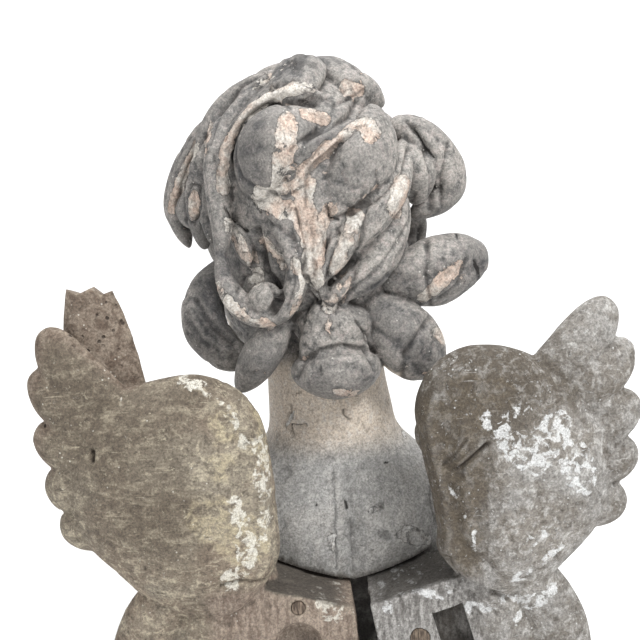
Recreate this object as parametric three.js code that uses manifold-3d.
// A carved and painted wooden putto: a bust with a head of heavy curls, and two wings carved
// on their own and pegged to a flat seat that is cut in its back.
// Millimetres, +Z up. The figure faces -Y, its left side is +X, and the origin lies in the
// flat underside, below the neck.
import * as THREE from 'three';
import { mergeVertices } from 'three/addons/utils/BufferGeometryUtils.js';
import Module from 'manifold-3d';

// Driving sizes
const bustHeight = 353;
const wingReach = 156;
const fitGap = 0.3;
const seatDepth = 38;
const seatRise = 0.29;
const blockThickness = 42;
const blockTopGap = 2;
const pegGrip = 18;
const pegProud = 0.6;
const leftPegRadius = 3.6;
const rightPegRadius = 5.2;
const gougeRadius = 13;
const gougeDepth = 7;
const mortiseWidth = 17;
const mortiseHeight = 24;
const mortiseDepth = 9;
const mortiseLean = 15;

// Free forms are drawn on a bust 353 tall with wings that reach 156, and scaled from there.
const unit = bustHeight / 353;
const wingUnit = wingReach / 156;

// The V of the seat and both pegs are placed on the bust's own scale.
const seatPoint = { x: -5 * unit, z: 59.5 * unit };
const seatY = seatDepth * unit;
const seatTop = (x) => seatPoint.z + seatRise * Math.abs(x - seatPoint.x);
const blockFront = seatY + fitGap;
const blockBack = blockFront + blockThickness;
const leftPeg = { x: 26 * unit, z: 60 * unit, radius: leftPegRadius };
const rightPeg = { x: -37.5 * unit, z: 40 * unit, radius: rightPegRadius };

const wasm = await Module();
wasm.setup();

const { smoothstep, degToRad, lerp, mapLinear } = THREE.MathUtils;
const vec = (x, y, z) => new THREE.Vector3(x, y, z);
const bump = (distance, spread) => Math.exp(-((distance / spread) ** 2));

// A closed geometry as a solid.
function solid(geometry) {
  const bare = geometry.clone();
  bare.deleteAttribute('normal');
  bare.deleteAttribute('uv');
  const merged = mergeVertices(bare, 1e-3);
  return new wasm.Manifold(new wasm.Mesh({
    numProp: 3,
    vertProperties: merged.attributes.position.array,
    triVerts: new Uint32Array(merged.index.array),
  }));
}

function geometryOf(body) {
  const mesh = body.getMesh();
  return new THREE.BufferGeometry()
    .setAttribute('position', new THREE.BufferAttribute(mesh.vertProperties, 3))
    .setIndex(new THREE.BufferAttribute(mesh.triVerts, 1));
}

const joined = (geometries) => geometries.map(solid).reduce((all, piece) => all.add(piece));

// Moves every vertex of a geometry to the place that is worked out from it.
function reshaped(geometry, place) {
  const position = geometry.attributes.position;
  for (let i = 0; i < position.count; i++) {
    const moved = place(position.getX(i), position.getY(i), position.getZ(i));
    position.setXYZ(i, moved.x, moved.y, moved.z);
  }
  return geometry;
}

// The same form on the other side of the figure, its faces still pointing out.
function mirrored(geometry) {
  const other = geometry.clone().scale(-1, 1, 1);
  const index = other.index.array;
  for (let i = 0; i < index.length; i += 3) {
    [index[i + 1], index[i + 2]] = [index[i + 2], index[i + 1]];
  }
  return other;
}

// A sphere pulled out along a curve, for a lock of hair, a limb or a feather. outAt gives the
// way its thickness faces at a point, and a smaller blunt makes fuller ends.
function pulled(points, { halfWidth, halfThick, outAt, blunt = 0.6, steps = 6, sides = 6 }) {
  const curve = new THREE.CatmullRomCurve3(points);
  return reshaped(new THREE.SphereGeometry(1, sides, steps), (x, y, z) => {
    const along = Math.acos(THREE.MathUtils.clamp(y, -1, 1)) / Math.PI;
    const ring = Math.sqrt(Math.max(0, 1 - y * y));
    if (ring < 1e-6) {
      return curve.getPoint(Math.round(along));
    }
    const centre = curve.getPoint(along);
    const tangent = curve.getTangent(along);
    const side = vec().crossVectors(outAt(centre), tangent).normalize();
    const out = vec().crossVectors(tangent, side).normalize();
    const swell = ring ** (blunt - 1);
    return centre
      .addScaledVector(side, x * swell * halfWidth)
      .addScaledVector(out, z * swell * halfThick);
  });
}

const backwards = () => vec(0, 1, 0);

// A shape drawn in x and z, made solid from one depth (y) to another.
function standing(shape, from, to) {
  return new THREE.ExtrudeGeometry(shape, { depth: to - from, bevelEnabled: false })
    .rotateX(Math.PI / 2)
    .translate(0, to, 0);
}

const polygon = (corners) => new THREE.Shape(corners.map(([x, z]) => new THREE.Vector2(x, z)));

// Everything above the flat underside.
const roomy = 2000;
const aboveGround = solid(new THREE.BoxGeometry(roomy, roomy, roomy).translate(0, 0, roomy / 2));

// Head: a cranium, a face mask and locks of hair, drawn about the middle of the cranium.
const headCentre = vec(8, -6, 276).multiplyScalar(unit);
const cranium = vec(54, 66, 69).multiplyScalar(unit);
const headTurn = degToRad(8);
const headTilt = degToRad(5);

const fromHead = ([x, y, z]) => vec(x, y, z).multiplyScalar(unit).add(headCentre);
const outOfHead = (point) => point.clone().sub(headCentre).divide(cranium).divide(cranium).normalize();

function ball(radii, centre, across = 16, up = 12) {
  return new THREE.SphereGeometry(1, across, up)
    .rotateX(Math.PI / 2)
    .scale(radii.x, radii.y, radii.z)
    .translate(centre.x, centre.y, centre.z);
}

// How far the face stands out in front of an egg, across it (x) and up it (z): calm, full
// cheeked, with closed lips.
function faceRelief(x, z) {
  const side = Math.abs(x);
  const bridge = 3 + 10 * smoothstep(-z, -18, 8);
  const nose = bridge * bump(x, 6.5) * smoothstep(z, -17, -11) * smoothstep(-z, -26, -13);
  const nostrils = 4 * bump(side - 7.5, 4) * bump(z + 9, 4.5);
  const sockets = -5.5 * bump(side - 20, 10) * bump(z - 16, 7);
  const eyes = 6 * bump(side - 20, 8) * bump(z - 13, 6);
  const brows = 3 * bump(side - 18, 14) * bump(z - 26, 5);
  const cheeks = 6 * bump(side - 27, 14) * bump(z + 14, 16);
  const muzzle = 4 * bump(x, 15) * bump(z + 22, 10);
  const lips = 4 * bump(x, 10) * (bump(z + 19, 2.8) + bump(z + 27, 3.4));
  const chin = 6 * bump(x, 11) * bump(z + 43, 7);
  return nose + nostrils + sockets + eyes + brows + cheeks + muzzle + lips + chin;
}

// The mask has its vertices drawn together at the front, where the features are.
function faceForm() {
  const form = new THREE.SphereGeometry(1, 25, 20).rotateX(Math.PI / 2);
  return reshaped(form, (x, y, z) => {
    const polar = Math.acos(THREE.MathUtils.clamp(z, -1, 1));
    const around = Math.atan2(x, -y);
    const gathered = polar + 0.3 * Math.sin(2 * polar) / 2;
    const turned = around * (0.42 + 0.58 * (around / Math.PI) ** 2);
    const ring = Math.sin(gathered);
    const point = vec(ring * Math.sin(turned), -ring * Math.cos(turned), Math.cos(gathered))
      .multiply(vec(52, 50, gathered < Math.PI / 2 ? 72 : 62));
    const front = smoothstep(-point.y, 0, 22);
    point.y -= faceRelief(point.x, point.z + 2) * front;
    return point.add(vec(3, -26, -56));
  })
    .rotateX(headTilt)
    .rotateZ(headTurn)
    .scale(unit, unit, unit)
    .translate(headCentre.x, headCentre.y, headCentre.z);
}

// Each lock of the back and sides runs through its points, from its root to its tip.
const locks = [
  { run: [[31, 45, -4], [27, 57, 15], [14, 60, 32], [-5, 49, 42]], wide: 18, thick: 10 },
  { run: [[40, 37, -3], [44, 44, 22], [27, 45, 44], [0, 46, 52], [-12, 46, 48]], wide: 4, thick: 6, steps: 7 },
  { run: [[15, 11, 63], [33, 14, 53], [45, 21, 38], [50, 31, 21], [50, 40, 1], [50, 50, -36]], wide: 7, thick: 8, steps: 7 },
  { run: [[50, 50, -26], [49, 52, -43], [42, 53, -57], [30, 55, -63], [18, 57, -60], [11, 60, -50], [10, 61, -35], [24, 55, -12]], wide: 6.3, thick: 9, steps: 10 },
  { run: [[44, 32, -8], [40, 40, -22], [35, 48, -38]], wide: 8.5, thick: 5 },
  { run: [[29, 53, -47], [28, 55, -55], [29, 51, -63]], wide: 11.5, thick: 9 },
  { run: [[12, 57, -7], [6, 60, -20], [4, 59, -35], [-2, 57, -57]], wide: 5.5, thick: 6 },
  { run: [[-26, 60, -9], [-20, 61, -22], [-13, 61, -33], [-5, 59, -47]], wide: 7, thick: 6 },
  { run: [[-36, 42, 45], [-35, 51, 25], [-25, 59, 9], [-8, 60, -8]], wide: 17, thick: 10 },
  { run: [[-20, 40, 44], [-11, 55, 30], [0, 62, 22], [9, 62, 13], [14, 57, 2]], wide: 5, thick: 6 },
  { run: [[-52, 28, 26], [-48, 43, 6], [-37, 54, -9], [-26, 56, -22], [-15, 50, -39]], wide: 10, thick: 9 },
  { run: [[-52, 32, -4], [-45, 44, -23], [-35, 51, -38], [-25, 53, -48], [-9, 54, -58]], wide: 10.5, thick: 9 },
  { run: [[29, 49, -1], [22, 55, -7], [13, 59, -15], [10, 61, -25]], wide: 6, thick: 6 },
  { run: [[-8, 9, 66], [22, 8, 62], [44, 8, 49], [56, 14, 26], [58, 20, -1], [57, 26, -26]], wide: 9, thick: 10, steps: 7 },
  { run: [[42, 2, 52], [60, -4, 36], [74, -8, 14], [80, -9, -8], [74, -6, -30]], wide: 13, thick: 9 },
  { run: [[52, 16, 40], [59, 16, 18], [64, 14, -8], [63, 10, -30]], wide: 7, thick: 9 },
  { run: [[66, 5, 6], [70, 5, -6], [69, 5, -18]], wide: 9, thick: 9 },
  { run: [[48, 12, -34], [63, 15, -54], [65, 21, -72], [53, 28, -87], [36, 34, -92]], wide: 12, thick: 13 },
  { run: [[14, 38, -52], [30, 46, -84], [46, 43, -107]], wide: 11, thick: 12 },
  { run: [[-31, 38, -72], [-9, 49, -71], [13, 38, -72]], wide: 13, thick: 13, steps: 7 },
  { run: [[-33, 42, -98], [-9, 53, -98], [15, 42, -98]], wide: 18, thick: 14, steps: 7 },
  { run: [[-26, 38, -60], [-42, 42, -76], [-55, 40, -91], [-64, 34, -101]], wide: 19, thick: 16 },
  { run: [[-44, 26, 34], [-60, 20, 29], [-74, 16, 12], [-75, 14, -4], [-56, 20, -16]], wide: 14, thick: 13, steps: 7 },
  { run: [[-46, 28, 24], [-59, 29, 8], [-58, 26, -10]], wide: 9.5, thick: 10 },
  { run: [[-34, 38, -50], [-58, 34, -49], [-80, 24, -46], [-95, 16, -43]], wide: 21, thick: 18 },
  { run: [[-10, 20, 62], [-28, 24, 56], [-44, 14, 46]], wide: 10, thick: 9 },
];

// A snail curl: a lock wound round its own tip. Its place is an angle from straight back
// (bearing) and a height on the cranium (rise), in degrees.
function snail({ bearing, rise, radius, hand, lift = 3 }) {
  const [b, r] = [bearing, rise].map(degToRad);
  const outward = vec(-Math.sin(b) * Math.cos(r), Math.cos(b) * Math.cos(r), Math.sin(r));
  const centre = outward.clone().multiply(cranium).addScaledVector(outward, lift * unit).add(headCentre);
  const across = vec(0, 0, 1).cross(outward).normalize();
  const up = vec().crossVectors(outward, across);
  const points = Array.from({ length: 9 }, (_, i) => {
    const share = i / 8;
    const angle = Math.PI / 2 + hand * share * 2.4 * Math.PI;
    const reach = radius * unit * (1 - 0.75 * share);
    return centre.clone()
      .addScaledVector(across, reach * Math.cos(angle))
      .addScaledVector(up, reach * Math.sin(angle))
      .addScaledVector(outward, 5 * unit * share);
  });
  const size = { halfWidth: 0.42 * radius * unit, halfThick: 0.62 * radius * unit };
  return pulled(points, { ...size, outAt: () => outward, blunt: 0.4, steps: 8, sides: 5 });
}

// Rows of curls that frame the face on both sides.
function faceCurls() {
  const facing = THREE.MathUtils.radToDeg(headTurn);
  return [-1, 1].flatMap((hand) => [
    snail({ bearing: 180 + hand * 17 - facing, rise: 22, radius: 13, hand }),
    snail({ bearing: 180 + hand * 44 - facing, rise: 27, radius: 16, hand: -hand }),
    snail({ bearing: hand * 116 - facing, rise: 8, radius: 18, hand: -hand }),
    snail({ bearing: hand * 108 - facing, rise: -23, radius: 17, hand, lift: 6 }),
    snail({ bearing: hand * 104 - facing, rise: -50, radius: 15, hand: -hand, lift: 15 }),
  ]);
}

// Locks that fan out over the top of the head from the whorl, and bow as they go.
function crownLocks() {
  const fan = [-200, -140, -95, -55, -15, 20];
  return fan.map((degrees) => {
    const angle = degToRad(degrees);
    const points = [0.1, 0.4, 0.65, 0.82].map((share) => {
      const bow = 0.2 * Math.sin(share * Math.PI);
      const x = share * Math.sin(angle) + bow * Math.cos(angle);
      const y = -share * Math.cos(angle) + bow * Math.sin(angle);
      return vec(x, y, Math.sqrt(1 - x * x - y * y)).multiply(cranium).add(fromHead([-2, -3, 6]));
    });
    return pulled(points, { halfWidth: 15 * unit, halfThick: 9 * unit, outAt: outOfHead });
  });
}

// The tuft over the forehead, which rises and falls to one side.
function forelock() {
  const points = [[4, -40, 56], [12, -56, 58], [20, -70, 46], [14, -75, 30], [2, -72, 22]].map(fromHead);
  return pulled(points, { halfWidth: 13 * unit, halfThick: 10 * unit, outAt: outOfHead });
}

function hair() {
  const mass = ball(vec(56, 46, 47).multiplyScalar(unit), fromHead([0, 9, -42]));
  const cut = locks.map(({ run, wide, thick, steps }) => pulled(run.map(fromHead), {
    halfWidth: wide * unit, halfThick: thick * unit, outAt: outOfHead, steps,
  }));
  return [mass, ...cut, ...faceCurls(), ...crownLocks(), forelock()];
}

// Trunk sections from below the underside up into the head: height, half width, front, back.
const trunkSections = [
  [-20, 75, 58, 46], [0, 76, 58, 47], [35, 77, 58, 48], [70, 75, 52, 49], [95, 70, 42, 47],
  [112, 62, 35, 42], [124, 49, 33, 38], [136, 38, 32, 35], [165, 35, 32, 34], [205, 33, 31, 32],
];

const breastRelief = (x, height) => 4 * bump(Math.abs(x) - 32, 19) * bump(height - 66, 21);

// The groove of the spine with a shoulder blade on each side of it.
function backRelief(x, height) {
  const fromSpine = Math.abs(x - seatPoint.x);
  const blades = 3.5 * bump(fromSpine - 30, 16) * bump(height - 88, 20);
  return blades - 3.5 * bump(fromSpine, 9) * bump(height - 85, 34);
}

function trunk() {
  const low = trunkSections[0][0];
  const high = trunkSections.at(-1)[0];
  return reshaped(new THREE.CylinderGeometry(1, 1, 2, 30, 11), (x, y, z) => {
    const height = mapLinear(y, -1, 1, low, high);
    const next = Math.max(1, trunkSections.findIndex(([level]) => level >= height - 1e-6));
    const [below, above] = [trunkSections[next - 1], trunkSections[next]];
    const share = (height - below[0]) / (above[0] - below[0]);
    const [wide, front, back] = [1, 2, 3].map((k) => lerp(below[k], above[k], share));
    const lean = 6 * smoothstep(height, 90, high);
    const relief = z > 0 ? breastRelief(x * wide, height) : backRelief(x * wide, height);
    const depth = -z * ((z > 0 ? front : back) + relief);
    return vec(x * wide + lean, depth, height).multiplyScalar(unit);
  });
}

function upperArm(side) {
  const points = [[38, 4, 108], [66, 2, 100], [84, 0, 80], [92, -3, 48], [94, -5, 0], [94, -6, -40]]
    .map(([x, y, z]) => vec(side * x, y, z).multiplyScalar(unit));
  return pulled(points, {
    halfWidth: 25 * unit, halfThick: 28 * unit, outAt: backwards, blunt: 0.5, steps: 8, sides: 11,
  });
}

// Below the V the back is cut away to a flat seat.
function seatCut() {
  const half = 110 * unit;
  const corners = [[-half, -half], [half, -half], [half, seatTop(half)], [seatPoint.x, seatPoint.z],
    [-half, seatTop(-half)]];
  return standing(polygon(corners), seatY, seatY + half);
}

function rod({ x, z }, radius, from, to) {
  return new THREE.CylinderGeometry(radius, radius, to - from, 20).translate(x, (from + to) / 2, z);
}

// A peg runs from a blind hole in the seat, through the wing's block, to stand just proud of it.
const pegForm = (peg) => rod(peg, peg.radius, seatY - pegGrip, blockBack + pegProud);
const pegHole = (peg) => solid(rod(peg, peg.radius + fitGap, seatY - pegGrip - fitGap, blockBack + roomy / 10));

function puttoBust() {
  const head = ball(cranium, headCentre, 14, 10);
  return joined([head, faceForm(), trunk(), upperArm(1), upperArm(-1), ...hair()])
    .subtract(solid(seatCut()))
    .subtract(pegHole(leftPeg))
    .subtract(pegHole(rightPeg))
    .intersect(aboveGround);
}

// Wings are drawn as [distance out from the spine, height] for a left wing. The right wing's
// sizes are drawn the same way and mirrored.
const wingY = 76;
const leftWing = {
  lobe: [[36, 84], [34, 110], [35, 135], [40, 163], [52, 179], [70, 187], [90, 186], [111, 180],
    [129, 168], [139, 148], [141, 124], [136, 103], [122, 86], [104, 68], [82, 56], [56, 60]],
  block: { inner: -3, innerFoot: -8, outer: 60, outerFoot: 66 },
  fan: [[[100, 162], [132, 188], [148, 214]], [[104, 150], [136, 172], [155, 192]],
    [[104, 138], [136, 150], [156, 162]], [[104, 124], [136, 130], [154, 134]], [[100, 110], [130, 110], [148, 108]]],
  tail: [[[74, 88], [100, 60], [114, 24], [117, -24]], [[60, 78], [78, 46], [88, 8], [91, -30]]],
  side: 1,
};
const rightWing = {
  lobe: [[50, 84], [49, 100], [46, 122], [42, 145], [40, 164], [45, 179], [56, 190], [71, 195], [88, 193],
    [106, 185], [124, 172], [136, 150], [140, 124], [134, 100], [118, 80], [98, 64], [72, 62]],
  block: { inner: 12, innerFoot: 26, outer: 74, outerFoot: 78 },
  fan: [[[96, 168], [124, 192], [142, 214]], [[102, 154], [132, 174], [152, 192]],
    [[104, 140], [136, 152], [156, 162]], [[104, 125], [136, 131], [155, 134]], [[100, 110], [130, 109], [149, 106]]],
  tail: [[[78, 88], [102, 60], [115, 24], [118, -24]], [[68, 78], [82, 46], [90, 8], [93, -30]]],
  side: -1,
};

// A cushion inside a closed outline, fuller at the back than at the front.
function pillow(outline, middle, rear, front) {
  const rim = new THREE.CatmullRomCurve3(outline.map(([out, height]) => vec(out, 0, height)), true);
  return reshaped(new THREE.SphereGeometry(1, 20, 9), (x, y, z) => {
    const share = (Math.atan2(z, -x) / (2 * Math.PI) + 1) % 1;
    const spread = Math.sqrt(Math.max(0, 1 - y * y)) ** 0.7;
    const edge = rim.getPoint(share);
    const depth = y > 0 ? y * rear : y * front;
    return vec(lerp(middle[0], edge.x, spread), wingY + depth, lerp(middle[1], edge.z, spread));
  });
}

const feather = (run, depth, halfWidth, halfThick, steps = 6) => pulled(
  run.map(([out, height], i) => vec(out, depth - 2 * i, height)),
  { halfWidth, halfThick, outAt: backwards, blunt: 0.4, steps },
);

// Short feathers in two rows over the front, fanned from the bend of the wing.
function coverts() {
  const rows = [{ from: 12, to: 42, turns: [140, 96, 52, 8] }, { from: 34, to: 66, turns: [-22, 16, 52] }];
  return rows.flatMap(({ from, to, turns }) => turns.map((degrees) => {
    const angle = degToRad(degrees);
    const run = [from, (from + to) / 2, to].map((reach) => [76 + reach * Math.cos(angle), 128 + reach * Math.sin(angle)]);
    return feather(run, 68, 14, 7, 4);
  }));
}

// The stump of a broken feather in front of the left wing's upper edge, and what broke off it:
// everything above a ragged line, drawn as distance out and height.
function brokenFeather() {
  return feather([[98, 150], [112, 192], [122, 246]], 66, 23, 8);
}

function brokenOff() {
  const ragged = [[60, 234], [96, 234], [102, 231], [107, 232], [112, 228], [118, 237], [130, 236], [138, 239], [180, 239]];
  const above = [[180, 300], [60, 300]];
  return standing(polygon([...ragged, ...above]), 30, 110).scale(wingUnit, wingUnit, wingUnit);
}

function wing({ lobe, block, fan, tail, side }, extras = []) {
  const feathers = [
    ...fan.map((run) => feather(run, wingY + 2, 14, 8)),
    ...tail.map((run) => feather(run, wingY, 17, 11)),
  ];
  const arm = pulled([vec(34, 58, 30), vec(50, 63, 72), vec(66, 70, 106), vec(78, 76, 136)], {
    halfWidth: 20, halfThick: 13, outAt: backwards, sides: 8,
  });
  const forms = [pillow(lobe, [82, 122], 19, 15), arm, ...feathers, ...coverts(), ...extras];
  const placed = forms
    .map((form) => form.scale(wingUnit, wingUnit, wingUnit))
    .map((form) => (side > 0 ? form : mirrored(form)));
  const foot = -20;
  const top = (out) => seatTop(side * out) - blockTopGap;
  const corners = [[block.innerFoot, foot], [block.outerFoot, foot], [block.outer, top(block.outer)]];
  const valley = side * seatPoint.x;
  if (block.inner < valley) {
    corners.push([valley, top(valley)]);
  }
  corners.push([block.inner, top(block.inner)]);
  const root = standing(polygon(corners.map(([out, z]) => [side * out, z])), blockFront, blockBack);
  return joined([root, ...placed]).intersect(aboveGround);
}

function leftWingBody() {
  const hollow = (gougeRadius ** 2 + gougeDepth ** 2) / (2 * gougeDepth);
  const gouge = ball(vec(hollow, hollow, hollow), vec(27 * unit, blockBack + hollow - gougeDepth, 39 * unit), 14, 10);
  return wing(leftWing, [brokenFeather()])
    .subtract(pegHole(leftPeg))
    .subtract(solid(gouge))
    .subtract(solid(brokenOff()));
}

function rightWingBody() {
  const mortise = new THREE.BoxGeometry(mortiseWidth, 2 * mortiseDepth, mortiseHeight)
    .rotateY(degToRad(mortiseLean))
    .translate(-55.5 * unit, blockBack, 44 * unit);
  return wing(rightWing)
    .subtract(pegHole(rightPeg))
    .subtract(solid(mortise));
}

const pieces = [
  { name: 'putto_bust', body: puttoBust(), finish: { color: 0x6f6d6b, roughness: 0.8 } },
  { name: 'left_wing', body: leftWingBody(), finish: { color: 0x7a7670, roughness: 0.82 } },
  { name: 'right_wing', body: rightWingBody(), finish: { color: 0x7d7871, roughness: 0.84 } },
  { name: 'left_wing_peg', body: solid(pegForm(leftPeg)), finish: { color: 0x6b5138, roughness: 0.75 } },
  { name: 'right_wing_peg', body: solid(pegForm(rightPeg)), finish: { color: 0x5f4731, roughness: 0.78 } },
];

const figure = new THREE.Group();
for (const { name, body, finish } of pieces) {
  const mesh = new THREE.Mesh(geometryOf(body), new THREE.MeshStandardMaterial({ ...finish, metalness: 0 }));
  mesh.name = name;
  figure.add(mesh);
}

export default figure;
